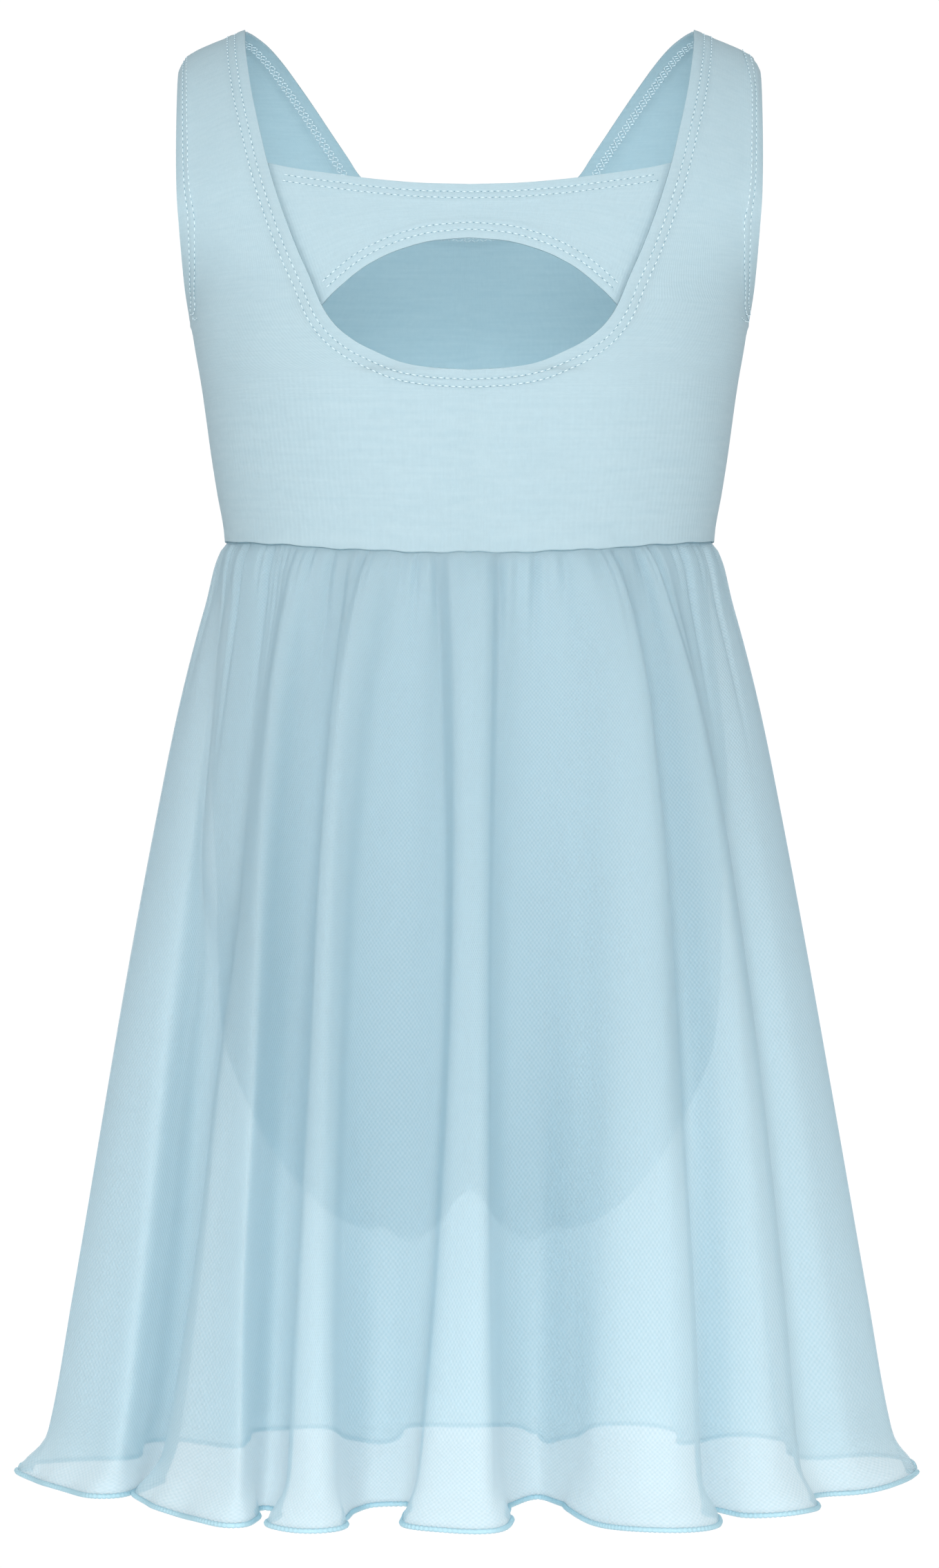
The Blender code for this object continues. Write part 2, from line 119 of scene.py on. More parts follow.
def power(value, exponent):
    return math.copysign(abs(value) ** exponent, value)


def bodyDepth(level):
    if level > body["underarm"]:
        rise = (level - body["underarm"]) / (body["shoulder"] - body["underarm"])
        return body["chestDepth"] * max(0.0, 1 - min(1.0, rise) ** 1.6) ** 0.6
    return blend(body["depths"], level, 1)


def waistLevel(x, facing):
    dip = body["backDip"] if facing < 0 else body["frontDip"]
    wave = 0.22 * math.sin(abs(x) * 0.46) + 0.16 * math.sin(abs(x) * 0.19 + 1)   # the gathers tug at the seam
    return body["waist"] + wave - dip * max(0.0, 1 - (x / 97.0) ** 2)


def onBody(x, level, facing, inset=0.0):
    # point of the bodice's surface at a half width and a level, x may be negative
    side, x = (-1 if x < 0 else 1), abs(x)
    form = blend(body["widths"], level, 1) - inset
    n = body["roundness"]
    y = max(0.0, (bodyDepth(level) - inset)) * max(0.0, 1 - min(1.0, x / form) ** n) ** (1 / n)
    gap = body["shoulderGap"] if level > -5 else body["sideGap"]
    z = level - blend(body["shoulderFall"], x, 1) * ease((level - body["underarm"]) / 70)
    return Vector((side * x, facing * (y + gap), z))


def stretchAt(level, neckHalf, share):
    # half width at a share of the way round from the neckline to the side seam or armhole
    form = blend(body["widths"], level, 1)
    edge = min(blend(body["widths"], level, 2), form)
    n = body["roundness"]
    start = math.asin(min(1.0, (neckHalf / form) ** (n / 2)))
    stop = math.asin(min(1.0, (edge / form) ** (n / 2)))
    return form * power(math.sin(start + (stop - start) * share), 2 / n)


# materials
def linear(hexColour):
    values = [int(hexColour[i:i + 2], 16) / 255 for i in (1, 3, 5)]
    return tuple(v / 12.92 if v <= 0.04045 else ((v + 0.055) / 1.055) ** 2.4 for v in values) + (1.0,)


def addNode(material, kind, settings=None, links=None):
    node = material.node_tree.nodes.new(kind)
    for key, value in (settings or {}).items():
        if key.startswith("."):
            setattr(node, key[1:], value)
        else:
            node.inputs[int(key) if key.isdigit() else key].default_value = value
    for key, source in (links or {}).items():
        material.node_tree.links.new(source, node.inputs[int(key) if key.isdigit() else key])
    return node


def newMaterial(name):
    material = bpy.data.materials.new(name)
    material.use_nodes = True
    nodes = material.node_tree.nodes
    return material, nodes["Principled BSDF"], nodes["Material Output"]


def cottonJersey(name, settings):
    # single-jersey knit: matt, with fine upright wales and a faint heather, which the eye reads as soft
    material, shader, output = newMaterial(name)
    cloth = addNode(material, "ShaderNodeUVMap", {".uv_map": "cloth"}).outputs["UV"]
    wales = addNode(material, "ShaderNodeTexWave", {
        ".wave_type": "BANDS", ".bands_direction": "X", ".wave_profile": "SIN",
        "Scale": 0.314 / settings["waleMm"] / mm, "Distortion": 1.4, "Detail": 1.0, "Detail Scale": 1.5},
        {"Vector": cloth})
    heather = addNode(material, "ShaderNodeTexNoise", {"Scale": 1 / settings["heatherMm"] / mm, "Detail": 4.0,
                                                       "Roughness": 0.7}, {"Vector": cloth})
    stretched = addNode(material, "ShaderNodeMapping", {"Scale": (60, 950, 1)}, {"Vector": cloth})
    yarns = addNode(material, "ShaderNodeTexNoise", {"Scale": 1.0, "Detail": 2.0},
                    {"Vector": stretched.outputs[0]})
    tone = addNode(material, "ShaderNodeMix", {".data_type": "RGBA", "6": linear(settings["dark"]),
                                               "7": linear(settings["light"])}, {"0": heather.outputs["Fac"]})
    yarnTone = addNode(material, "ShaderNodeMix", {".data_type": "RGBA", "6": linear(settings["yarnDark"]),
                                                   "7": (1, 1, 1, 1)}, {"0": yarns.outputs["Fac"]})
    colour = addNode(material, "ShaderNodeMix", {".data_type": "RGBA", ".blend_type": "MULTIPLY", "0": 1.0},
                     {"6": tone.outputs[2], "7": yarnTone.outputs[2]})
    relief = addNode(material, "ShaderNodeMath", {".operation": "MULTIPLY_ADD", "1": 0.6},
                     {"0": wales.outputs["Fac"], "2": heather.outputs["Fac"]})
    bump = addNode(material, "ShaderNodeBump", {"Strength": settings["relief"], "Distance": 0.0004},
                   {"Height": relief.outputs[0]})
    through = addNode(material, "ShaderNodeBsdfTranslucent", {}, {"Color": colour.outputs[2]})
    knit = addNode(material, "ShaderNodeMixShader", {"0": settings["through"]},
                   {"1": shader.outputs[0], "2": through.outputs[0]})
    shader.inputs["Roughness"].default_value = 0.92
    shader.inputs["Specular IOR Level"].default_value = 0.25
    shader.inputs["Sheen Weight"].default_value = 0.12
    shader.inputs["Sheen Roughness"].default_value = 0.5
    links = material.node_tree.links
    links.new(colour.outputs[2], shader.inputs["Base Color"])
    links.new(bump.outputs[0], shader.inputs["Normal"])
    links.new(knit.outputs[0], output.inputs["Surface"])
    return material


def crepeChiffon(name, settings):
    # sheer crepe chiffon: twisted yarns leave two slanting grains, and light passes round and through them
    material, shader, output = newMaterial(name)
    cloth = addNode(material, "ShaderNodeUVMap", {".uv_map": "cloth"}).outputs["UV"]
    grains = []
    for slant in (settings["slant"], -settings["slant"]):
        slanted = addNode(material, "ShaderNodeMapping", {"Rotation": (0, 0, math.radians(slant))},
                          {"Vector": cloth})
        # the real grain is 0.9 mm apart, drawn coarser so that it shows
        grains.append(addNode(material, "ShaderNodeTexWave", {
            ".wave_type": "BANDS", ".bands_direction": "Y", ".wave_profile": "SIN",
            "Scale": 0.314 / settings["grainMm"] / mm, "Distortion": 1.2, "Detail": 2.0, "Detail Scale": 2.0},
            {"Vector": slanted.outputs[0]}))
    crossed = addNode(material, "ShaderNodeMath", {".operation": "ADD"},
                      {"0": grains[0].outputs["Fac"], "1": grains[1].outputs["Fac"]})
    crepe = addNode(material, "ShaderNodeTexNoise", {"Scale": 1 / settings["crepeMm"] / mm, "Detail": 3.0,
                                                     "Roughness": 0.65}, {"Vector": cloth})
    mixed = addNode(material, "ShaderNodeMath", {".operation": "MULTIPLY"},
                    {"0": crossed.outputs[0], "1": crepe.outputs["Fac"]})
    tone = addNode(material, "ShaderNodeMix", {".data_type": "RGBA", "6": linear(settings["dark"]),
                                               "7": linear(settings["light"])}, {"0": mixed.outputs[0]})
    bump = addNode(material, "ShaderNodeBump", {"Strength": settings["relief"], "Distance": 0.0004},
                   {"Height": mixed.outputs[0]})
    shader.inputs["Roughness"].default_value = 0.8
    shader.inputs["Specular IOR Level"].default_value = 0.2
    shader.inputs["Sheen Weight"].default_value = 0.08
    links = material.node_tree.links
    links.new(tone.outputs[2], shader.inputs["Base Color"])
    links.new(bump.outputs[0], shader.inputs["Normal"])
    through = addNode(material, "ShaderNodeBsdfTranslucent", {}, {"Color": tone.outputs[2],
                                                                  "Normal": bump.outputs[0]})
    threads = addNode(material, "ShaderNodeMixShader", {"0": settings["through"]},
                      {"1": shader.outputs[0], "2": through.outputs[0]})
    holes = addNode(material, "ShaderNodeBsdfTransparent", {"Color": linear(settings["tint"])})
    sheer = addNode(material, "ShaderNodeMixShader", {"0": settings["cover"]},
                    {"1": holes.outputs[0], "2": threads.outputs[0]})
    links.new(sheer.outputs[0], output.inputs["Surface"])
    return material


def threadAndHoleShade(name, colour):
    # spun polyester thread: soft, slightly brighter than the cloth round it; in a dark colour the same
    # material is painted shade for the needle holes
    material, shader, output = newMaterial(name)
    shader.inputs["Base Color"].default_value = linear(colour)
    shader.inputs["Roughness"].default_value = 0.6
    place = addNode(material, "ShaderNodeTexCoord").outputs["Object"]
    twist = addNode(material, "ShaderNodeTexNoise", {"Scale": 1500.0, "Detail": 1.0}, {"Vector": place})
    bump = addNode(material, "ShaderNodeBump", {"Strength": 0.4, "Distance": 0.0002},
                   {"Height": twist.outputs["Fac"]})
    material.node_tree.links.new(bump.outputs[0], shader.inputs["Normal"])
    return material


jerseyLooks = {"waleMm": 1.2, "heatherMm": 1.6, "dark": "#c2d6dd", "light": "#cfe2e8", "yarnDark": "#eef4f6",
               "relief": 0.2, "through": 0.35}
chiffonLooks = {"slant": 38, "grainMm": 1.5, "crepeMm": 0.9, "dark": "#cfe6ee", "light": "#e1f1f6",
                "relief": 0.6, "through": 0.47, "cover": 0.57, "tint": "#fdfeff"}
jersey = cottonJersey("cotton jersey", jerseyLooks)
# wrong side of the jersey, more translucent and painted lighter: painted light for the shaded inside of the
# dress
insideJerseyPaintedLighter = cottonJersey("cotton jersey inside, painted lighter", {
    **jerseyLooks, "dark": "#cde4ec", "light": "#daeef4", "through": 0.6})
frontJersey = cottonJersey("cotton jersey front", {**jerseyLooks, "through": 0.58})
# lighter copy of the jersey: painted light for the brief, which lies in shade under the skirt
briefJerseyPaintedLighter = cottonJersey("cotton jersey brief, painted lighter", {**jerseyLooks, "dark": "#c8dde5", "light": "#d5e6ed"})
chiffon = crepeChiffon("crepe chiffon", chiffonLooks)
thread = threadAndHoleShade("sewing thread", "#d9ebf1")
# dark copy for the needle holes: painted shade, not thread
needleHoleShade = threadAndHoleShade("painted shade in the needle holes", "#7fa6b6")
print("materials made")


# cloth from a grid
def clothPiece(name, columns, rows, place, flat, material, thick=0.0):
    form = bmesh.new()
    bmesh.ops.create_grid(form, x_segments=columns, y_segments=rows, size=1)
    uv = form.loops.layers.uv.new("cloth")
    width, length = flat
    for face in form.faces:
        for loop in face.loops:
            loop[uv].uv = ((loop.vert.co.x + 1) / 2 * width, (loop.vert.co.y + 1) / 2 * length)
    for vertex in form.verts:
        vertex.co = Vector(place((vertex.co.x + 1) / 2, (1 - vertex.co.y) / 2)) * mm
    form.normal_update()
    middles = [(face.normal, face.calc_center_median()) for face in form.faces]
    out = sum(normal.x * middle.x + normal.y * middle.y for normal, middle in middles)
    if out < 0:
        bmesh.ops.reverse_faces(form, faces=form.faces)
    mesh = bpy.data.meshes.new(name)
    form.to_mesh(mesh)
    form.free()
    mesh.shade_smooth()
    mesh.materials.append(material)
    piece = bpy.data.objects.new(name, mesh)
    bpy.context.collection.objects.link(piece)
    if thick:
        wall = piece.modifiers.new("wall", "SOLIDIFY")
        wall.thickness = thick * mm
        wall.offset = -1
        wall.use_even_offset = False
    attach(piece, "root")
    print(name, "made")
    return piece


def evenly(points, step):
    # points at equal steps along a path of (key, position) pairs, as keys
    keys, run = [points[0][0]], 0.0
    total = sum((b[1] - a[1]).length for a, b in zip(points, points[1:]))
    count = max(2, int(round(total / step)))
    target = total / count
    reach = target
    for a, b in zip(points, points[1:]):
        length = (b[1] - a[1]).length
        while length > 0 and run + length >= reach - 1e-9 and len(keys) < count:
            t = (reach - run) / length
            keys.append(tuple(p + (q - p) * t for p, q in zip(a[0], b[0])))
            reach += target
        run += length
    keys.append(points[-1][0])
    return keys


def edgeKeys(table, step=1.0, facing=-1, low=None):
    # (half width, level) keys along a neckline or armhole
    lows = table[0][0] if low is None else low
    levels = [lows + (0.8 - lows) * (1 - math.cos(math.pi * i / 600)) / 2 for i in range(601)]
    return evenly([((blend(table, l, 1), l), onBody(blend(table, l, 1), l, facing)) for l in levels], step)


armTable = tuple((level, edge) for level, form, edge in body["widths"])


def hemRelief(trees, depth):
    # a turned hem: the doubled cloth stands proud, with a shallow channel under each row of stitching
    def lift(point):
        value = 0.0
        for tree, rows in trees:
            near = tree.find(point)[2]
            if near < 12:
                proud = depth * (1 - ease((near - 7.2) / 1.6))
                for row in rows:
                    proud -= 0.3 * math.exp(-((near - row) / 0.55) ** 2)
                pucker = 0.10 * math.sin(point.x * 1.9 + point.z * 2.3) * math.exp(-((near - 5.5) / 3.5) ** 2)
                value = value + proud + pucker if abs(proud) > abs(value) else value
        return value
    return lift


def keyTree(paths, facing, inset=0.0):
    spots = [onBody(s * x, level, facing, inset) for keys in paths for x, level in keys for s in (-1, 1)]
    tree = KDTree(len(spots))
    for i, spot in enumerate(spots):
        tree.insert(spot, i)
    tree.balance()
    return tree


def creases(point, seed, amount):
    # slack in the jersey: broad swells and a few soft drag lines
    swell = noise.noise(Vector((point.x * 0.018, point.z * 0.03, seed)))
    drag = noise.noise(Vector((point.x * 0.05 + point.z * 0.02, point.z * 0.011, seed + 9)))
    return amount * (swell + 0.5 * drag)


def outwards(point, half, depth):
    # level direction away from an oval of this half width and depth
    return Vector((point.x / half ** 2, point.y / depth ** 2, 0)).normalized()


def bodicePanel(name, neck, facing, material, relief, seed, rowsAt, replaced):
    neckKeys = edgeKeys(neck, 1.5, facing)
    neckTree = keyTree([edgeKeys(neck, 1.0, facing)], facing)
    armTree = keyTree([edgeKeys(armTable, 1.0, facing, low=-112.0)], facing)
    lift = hemRelief([(neckTree, rowsAt), (armTree, rowsAt)], relief)
    base = neck[0][0]
    lower = [base - 0.7 * i for i in range(1, 15)]
    while lower[-1] > body["waist"] + 3:
        lower.append(lower[-1] - 2.2)
    lower[-1:] = [body["waist"] + 0.5, body["waist"]]   # a close row keeps the seam's edge crisp
    levels = [key[1] for key in reversed(neckKeys)] + lower
    columns = 52

    def halfPlace(share, level):
        share = 0.5 - 0.5 * math.cos(math.pi * share)
        half = blend(neck, level, 1)
        x = stretchAt(level, half, share)
        fall = min(1.0, max(0.0, (-112.0 - level) / (-112.0 - body["waist"])))
        atLevel = level + (waistLevel(x, facing) - body["waist"]) * fall ** 2
        x = stretchAt(atLevel, half, share)
        return onBody(x, atLevel, facing)

    def place(u, v):
        level = levels[int(round(v * (len(levels) - 1)))]
        point = halfPlace(u, level)
        amount = lift(point)
        out = Vector((point.x / 110 ** 2, point.y / 75 ** 2, max(0.0, point.z + 40) / 75 ** 2)).normalized()
        seam = min(1.0, abs(point.y) / 12) if level < -100 else 1.0
        point += out * (amount + creases(point, seed, 0.9) * ease((-60 - point.z) / 60) * seam)
        return point

    piece = clothPiece(name, columns, len(levels) - 1, place, (0.11, 0.205), material)
    halves = piece.modifiers.new("halves", "MIRROR")
    halves.use_mirror_merge = True
    halves.merge_threshold = 0.00005
    halves.use_mirror_u = True   # the knit runs on across the middle
    halves.mirror_offset_u = -1
    wall = piece.modifiers.new("wall", "SOLIDIFY")
    wall.thickness = body["wall"] * mm
    wall.offset = -1
    # the front panel's inner face takes the lighter copy, painted light for the shaded inside
    if facing > 0:
        piece.data.materials.append(insideJerseyPaintedLighter)
        wall.material_offset = 1
    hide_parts(replaced)
    return piece


backPanel = bodicePanel("backPanel", backScoop, -1, jersey, 0.45, 3.1, (4.3, 7.3), "bodice_back")
frontPanel = bodicePanel("frontPanel", frontNeck, 1, frontJersey, -0.45, 7.7, (3.4, 6.2), "bodice_front")

# band across the back
band = {
    # half width share, lower edge level, upper edge level
    "edges": ((0.0, -89.8, -68.6), (0.2, -90.8, -68.1), (0.4, -94.0, -66.6), (0.6, -99.8, -64.2),
              (0.8, -109.6, -61.3), (0.9, -115.8, -59.2), (1.0, -123.0, -57.0)),
    "lowerHalf": 64.0, "upperHalf": 85.6, "inset": 1.8, "wall": 1.0,
}


def bandKey(u, v):
    side = 2 * u - 1
    half = abs(side)
    upper, lower = blend(band["edges"], half, 2), blend(band["edges"], half, 1)
    x = half * (band["upperHalf"] + (band["lowerHalf"] - band["upperHalf"]) * v)
    return math.copysign(x, side), upper + (lower - upper) * v


def bandPoint(x, level):
    point = onBody(x, level, -1, band["inset"])
    point.y += body["sideGap"]
    point.z = level
    return point


def bandTree(v):
    spots = [bandPoint(*bandKey(i / 400, v)) for i in range(401)]
    tree = KDTree(len(spots))
    for i, spot in enumerate(spots):
        tree.insert(spot, i)
    tree.balance()
    return tree


bandLift = hemRelief([(bandTree(0), (3.5, 6.1)), (bandTree(1), (3.2, 6.0))], 0.35)


def bandPlace(u, v):
    point = bandPoint(*bandKey(u, 0.5 - 0.5 * math.cos(math.pi * v)))
    out = outwards(point, 110, body["chestDepth"])
    middle = ease((0.92 - abs(2 * u - 1)) / 0.1)
    return point + out * (bandLift(point) * middle - 0.25 * (1 - middle))


backBand = clothPiece("backBand", 200, 48, bandPlace, (0.17, 0.066), jersey)
bandWall = backBand.modifiers.new("wall", "SOLIDIFY")
bandWall.thickness = band["wall"] * mm
bandWall.offset = -1
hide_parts("back_band")

# skirt
skirt = {
    "halfWidth": 95.2, "depth": 64.5, "roundness": 2.3, "middle": 196.0, "length": 369.5, "hem": -575.0,
    "seamGap": 0.1, "wall": 0.45, "gatherSpread": 1.25, "fineSpread": 0.6, "gatherDepth": 1.5, "fullTop": 2.2,
    # distance below the waist seam, half width of the silhouette
    "sides": ((0, 95.2), (11, 100.4), (33, 107.3), (67, 115.8), (111, 124.7), (166, 135.0), (232, 146.7),
              (298, 158.3), (353, 168.6), (369.5, 175.0)),
    # the smooth cone the folds stand on: half width and depth at the waist, halfway down and at the hem
    "cone": ((95.2, 64.5), (141.0, 98.0), (176.0, 112.0)),
    # distance below the waist seam, share there of a fold's depth halfway down and of its depth at the
    # hem, and how far in a valley can go before it would meet the brief
    "growth": (
        (0, 0.06, 0, 0.05), (12, 0.36, 0, 0.9), (30, 0.64, 0, 2.8), (65, 0.88, 0, 6.5), (120, 0.95, 0.06, 12),
        (196, 0.8, 0.2, 60), (280, 0.4, 0.6, 200), (369.5, 0, 1, 500)),
    # angle at the waist, x and y halfway down, x and y at the hem
    "foldsBack": (
        (-90, -141, -2, -176, 10), (-86, -139, -22, -170, -14), (-82, -131, -41, -157, -38),
        (-77, -120, -52, -142, -60), (-72, -113, -45, -134, -46), (-67, -109, -38, -128, -19),
        (-61, -103.5, -39, -121, -16), (-55, -100.5, -49, -122, -32), (-49, -100.5, -61, -125, -50),
        (-44, -95, -77, -118, -83), (-40, -85, -90, -101, -114), (-37, -78.5, -91, -88, -131),
        (-34, -75, -84, -83, -113), (-31, -71, -80, -80, -92), (-28, -65, -82, -74, -92),
        (-25.5, -61, -89, -70.5, -101), (-23.5, -60, -98, -70.5, -120), (-21.5, -58.5, -106, -69.5, -134),
        (-19, -53, -108, -61, -143), (-16, -48.5, -103, -52, -139), (-13.5, -45.5, -95, -49, -114),
        (-11, -37, -91, -41, -85), (-8, -22, -91, -28, -84), (-6, -12, -93, -21.5, -88),
        (-4.5, -9, -100, -22, -108), (-2.5, -7, -109, -21.5, -131), (0.5, -0.5, -111.5, -8, -141),
        (3.5, 6, -108.5, 7.5, -142), (5.5, 8.5, -99, 10.5, -119), (9, 16, -93, 13, -83),
        (15, 32, -93, 27, -64), (20, 43, -98, 39, -88), (24.5, 53, -106, 48.5, -122),
        (27.5, 64, -108.5, 62, -139), (30, 73, -105.5, 78, -143), (32, 77, -97, 88.5, -132),
        (34, 78, -86.5, 88.5, -109), (37, 84, -79, 89.5, -90), (40, 95, -81.5, 103, -103),
        (42.5, 104.5, -80, 118, -104), (45.5, 111, -70, 130.5, -87), (50, 112, -57, 130.5, -66),
        (58, 117, -49.5, 138, -52), (68, 129, -41, 156, -42), (80, 138, -22, 169, -14),
        (90, 141, -2, 176, 10)),
    "foldsFront": (
        (97, 139, 16, 172, 34), (104, 129, 30, 158, 48), (111, 118, 36, 138, 46),
        (117, 112, 50, 130, 62), (123, 108, 66, 133, 84), (130, 98, 80, 121, 104),
        (137, 84, 83, 99, 100), (143, 75, 86, 88, 92), (149, 68, 97, 88, 116),
        (155, 58, 107, 77, 137), (161, 46, 105, 57, 137), (167, 37, 95, 44, 110),
        (172, 27, 93, 33, 92), (177, 18, 100, 27, 112), (182, 8, 110, 17, 139),
        (188, -5, 112, -4, 146), (194, -18, 105, -22, 134), (200, -28, 95, -29, 104),
        (206, -38, 93, -38, 90), (212, -50, 99, -52, 106), (218, -60, 103, -66, 130),
        (224, -72, 97, -85, 126), (230, -80, 86, -92, 100), (236, -88, 79, -96, 80),
        (242, -101, 76, -116, 88), (248, -110, 64, -134, 82), (254, -113, 46, -134, 58),
        (260, -124, 33, -143, 42), (266, -137, 17, -168, 34)),
    # angle at the waist, depth of the gather, how far down it runs
    "gathers": (
        (-85, 2.2, 40), (-73, 1.6, 26), (-62.2, 2.6, 46), (-50, 2.4, 36), (-41.5, 1.4, 20), (-30, 2.0, 30),
        (-21.5, 2.6, 50), (-12.5, 1.4, 22), (-9, 1.2, 16), (-5, 2.2, 34), (-1.8, 1.8, 24), (5, 2.8, 60),
        (8.8, 1.8, 26), (12.6, 2.0, 30), (19, 2.0, 26), (25.5, 1.4, 20), (32, 2.8, 56), (38.5, 1.6, 26),
        (44.2, 2.6, 50), (56, 2.2, 40), (70, 2.4, 44), (84, 2.0, 36), (98, 2.0, 34), (109, 2.4, 44),
        (118, 1.8, 26), (127, 2.4, 40), (136, 1.6, 22), (144, 2.6, 48), (152, 1.8, 26), (159, 2.2, 34),
        (166, 1.6, 22), (172, 2.4, 42), (178, 1.8, 28), (185, 2.4, 38), (191, 1.6, 20), (198, 2.6, 50),
        (205, 1.8, 26), (213, 2.2, 34), (221, 2.6, 46), (230, 1.8, 26), (239, 2.4, 42), (249, 1.8, 28),
        (260, 2.4, 40)),
}


def onCone(ring, x, y):
    half, depth = skirt["cone"][ring]
    n = skirt["roundness"]
    reach = ((abs(x) / half) ** n + (abs(y) / depth) ** n) ** (1 / n)
    return x / reach, y / reach


foldLines = []
for angle, midX, midY, hemX, hemY in skirt["foldsBack"] + skirt["foldsFront"]:
    turn = math.radians(angle)
    middle, hem = onCone(1, midX, midY), onCone(2, hemX, hemY)
    waist = (skirt["halfWidth"] * power(math.sin(turn), 2 / skirt["roundness"]),
             -skirt["depth"] * power(math.cos(turn), 2 / skirt["roundness"]))
    foldLines.append((waist, middle, hem, (midX - middle[0], midY - middle[1]),
                      (hemX - hem[0], hemY - hem[1]), angle))
seamRight = len(skirt["foldsBack"]) - 1
fineGathers = [(random.uniform(-90, 270), random.uniform(0.6, 1.6), random.uniform(9, 30)) for i in range(84)]


def skirtColumn(along):
    # one upright line of the skirt: the four fold lines round it, their shares, and the gathers near it
    first = int(math.floor(along))
    t = along - first
    shares = (-t + 2 * t * t - t ** 3, 2 - 5 * t * t + 3 * t ** 3, t + 4 * t * t - 3 * t ** 3, t ** 3 - t * t)
    lines = [(first + k) % len(foldLines) for k in (-1, 0, 1, 2)]
    angle = 0.5 * sum(s * (foldLines[i][5] + 360 * ((first + k) // len(foldLines)))
                      for s, i, k in zip(shares, lines, (-1, 0, 1, 2)))
    near = []
    for group, spread in ((skirt["gathers"], skirt["gatherSpread"]), (fineGathers, skirt["fineSpread"])):
        for at, depth, run in group:
            away = (angle - at + 180) % 360 - 180
            if abs(away) < 4 * spread:
                near.append((skirt["gatherDepth"] * depth * math.exp(-(away / spread) ** 2), run))
    return lines, shares, near


def skirtRing(columns, drop):
    middle, end = skirt["middle"], skirt["length"]
    weights = ((drop - middle) * (drop - end) / (middle * end),
               drop * (drop - end) / (middle * (middle - end)),
               drop * (drop - middle) / (end * (end - middle)))
    grown, grownHem, room = (blend(skirt["growth"], drop, k) for k in (1, 2, 3))
    spots = []
    for line in foldLines:
        x, y = (sum(w * spot[c] for w, spot in zip(weights, line)) for c in (0, 1))
        foldX, foldY = (grown * line[3][c] + grownHem * line[4][c] for c in (0, 1))
        held = 1.0
        if foldX * x + foldY * y < 0:
            held = (1 + (math.hypot(foldX, foldY) / room) ** 3) ** (-1 / 3)
        spots.append((x + held * foldX, y + held * foldY))
    half = blend(skirt["sides"], drop, 1)
    fullness = half / spots[seamRight][0]
    ring = []
    for lines, shares, near in columns:
        x, y = (0.5 * fullness * sum(s * spots[i][c] for s, i in zip(shares, lines)) for c in (0, 1))
        pull = sum(depth * (0.08 + 0.92 * min(1.0, drop / 4)) * (1 - drop / (2.2 * run)) ** 1.6
                   for depth, run in near if drop < 2.2 * run)
        # the cloth puffs out just under the seam
        pull -= skirt["fullTop"] * (0.5 + 0.5 * ease(drop / 4)) * (1 - ease(drop / 26))
        out = math.hypot(x / 97 ** 2, y / 66 ** 2)
        x, y = x - pull * x / 97 ** 2 / out, y - pull * y / 66 ** 2 / out
        top = waistLevel(x * 97 / half, -1 if y < 0 else 1) - skirt["seamGap"]
        ring.append(Vector((x, y, top + (skirt["hem"] - top) * drop / skirt["length"])))
    return ring


skirtDrops = [0, 0.5] + [369.5 * (i / 84) ** 1.25 for i in range(1, 79)]
skirtDrops += [skirtDrops[-1] + (369.5 - skirtDrops[-1]) * i / 9 for i in range(1, 10)]


def skirtPlaces(first, last, columns):
    # rings of the panel with the curled, lettuce-edged hem worked in
    rings = []
    lines = [skirtColumn(first + (last - first) * i / columns) for i in range(columns + 1)]
    for drop in skirtDrops:
        row = skirtRing(lines, drop)
        for end, step in ((0, 1), (columns, -1)):
            apart = (row[end + step] - row[end]).normalized()
            row[end] = row[end] + apart * skirt["seamGap"] / 2
        rings.append(row)
    hemRun, runs = 0.0, [0.0]
    for a, b in zip(rings[-1], rings[-1][1:]):
        hemRun += (b - a).length
        runs.append(hemRun)
    # how sharply the hem bends inwards, per millimetre, evened out over its neighbours
    turns = [0.0] * (columns + 1)
    for i in range(1, columns):
        before, after = rings[-1][i] - rings[-1][i - 1], rings[-1][i + 1] - rings[-1][i]
        bend = before.x * after.y - before.y * after.x
        turns[i] = max(0.0, -bend / (before.length * after.length) / (0.5 * (before.length + after.length)))
    hollow = [max(turns[max(0, i - 6):i + 7]) for i in range(columns + 1)]
    hollow = [sum(hollow[max(0, i - 4):i + 5]) / len(hollow[max(0, i - 4):i + 5]) for i in range(columns + 1)]
    for k, drop in enumerate(skirtDrops):
        moved = []
        curl = ease((drop - 350) / 19.5) ** 1.6
        ripple = ease((drop - 60) / 200)
        for i in range(columns + 1):
            before, after = rings[k][max(0, i - 1)], rings[k][min(columns, i + 1)]
            tangent = (after - before).normalized()
            out = Vector((tangent.y, -tangent.x, 0))
            run = runs[i] + 400 * first
            wave = 0.45 * math.sin(run / 6.4 + 1.6 * math.sin(run / 31)) + 0.55 * math.sin(run / 14.5 + 2)
            soft = noise.noise(Vector((run * 0.03, drop * 0.004, 3.3)))
            edge = 1 if 0 < i < columns else 0
            flare = 4.2 + 2.2 * wave
            flare /= 1 + 2.6 * flare * hollow[i]   # less in a valley, where the cloth would meet itself
            moved.append(rings[k][i] + out * edge * (curl * flare + ripple * 1.1 * soft)
                         + Vector((0, 0, curl * (1.2 + 0.8 * wave))))
        rings[k] = moved
    return rings, hemRun


def skirtPanel(name, first, last, columns, replaced):
    rings, hemRun = skirtPlaces(first, last, columns)

    def place(u, v):
        return rings[int(round(v * (len(rings) - 1)))][int(round(u * columns))]

    piece = clothPiece(name, columns, len(skirtDrops) - 1, place, (hemRun * mm, skirt["length"] * mm),
                       chiffon, skirt["wall"])
    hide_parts(replaced)
    return piece, rings[-1], hemRun


skirtBack, backHem, backHemRun = skirtPanel("skirtBack", 0, seamRight, 504, "skirt_back")
skirtFront, frontHem, frontHemRun = skirtPanel("skirtFront", seamRight, len(foldLines), 360, "skirt_front")
print("hem lengths", backHemRun, frontHemRun)


# rolled hem
rolledHem = {"radius": 0.95, "sides": 7, "bead": 1.9, "step": 0.48}


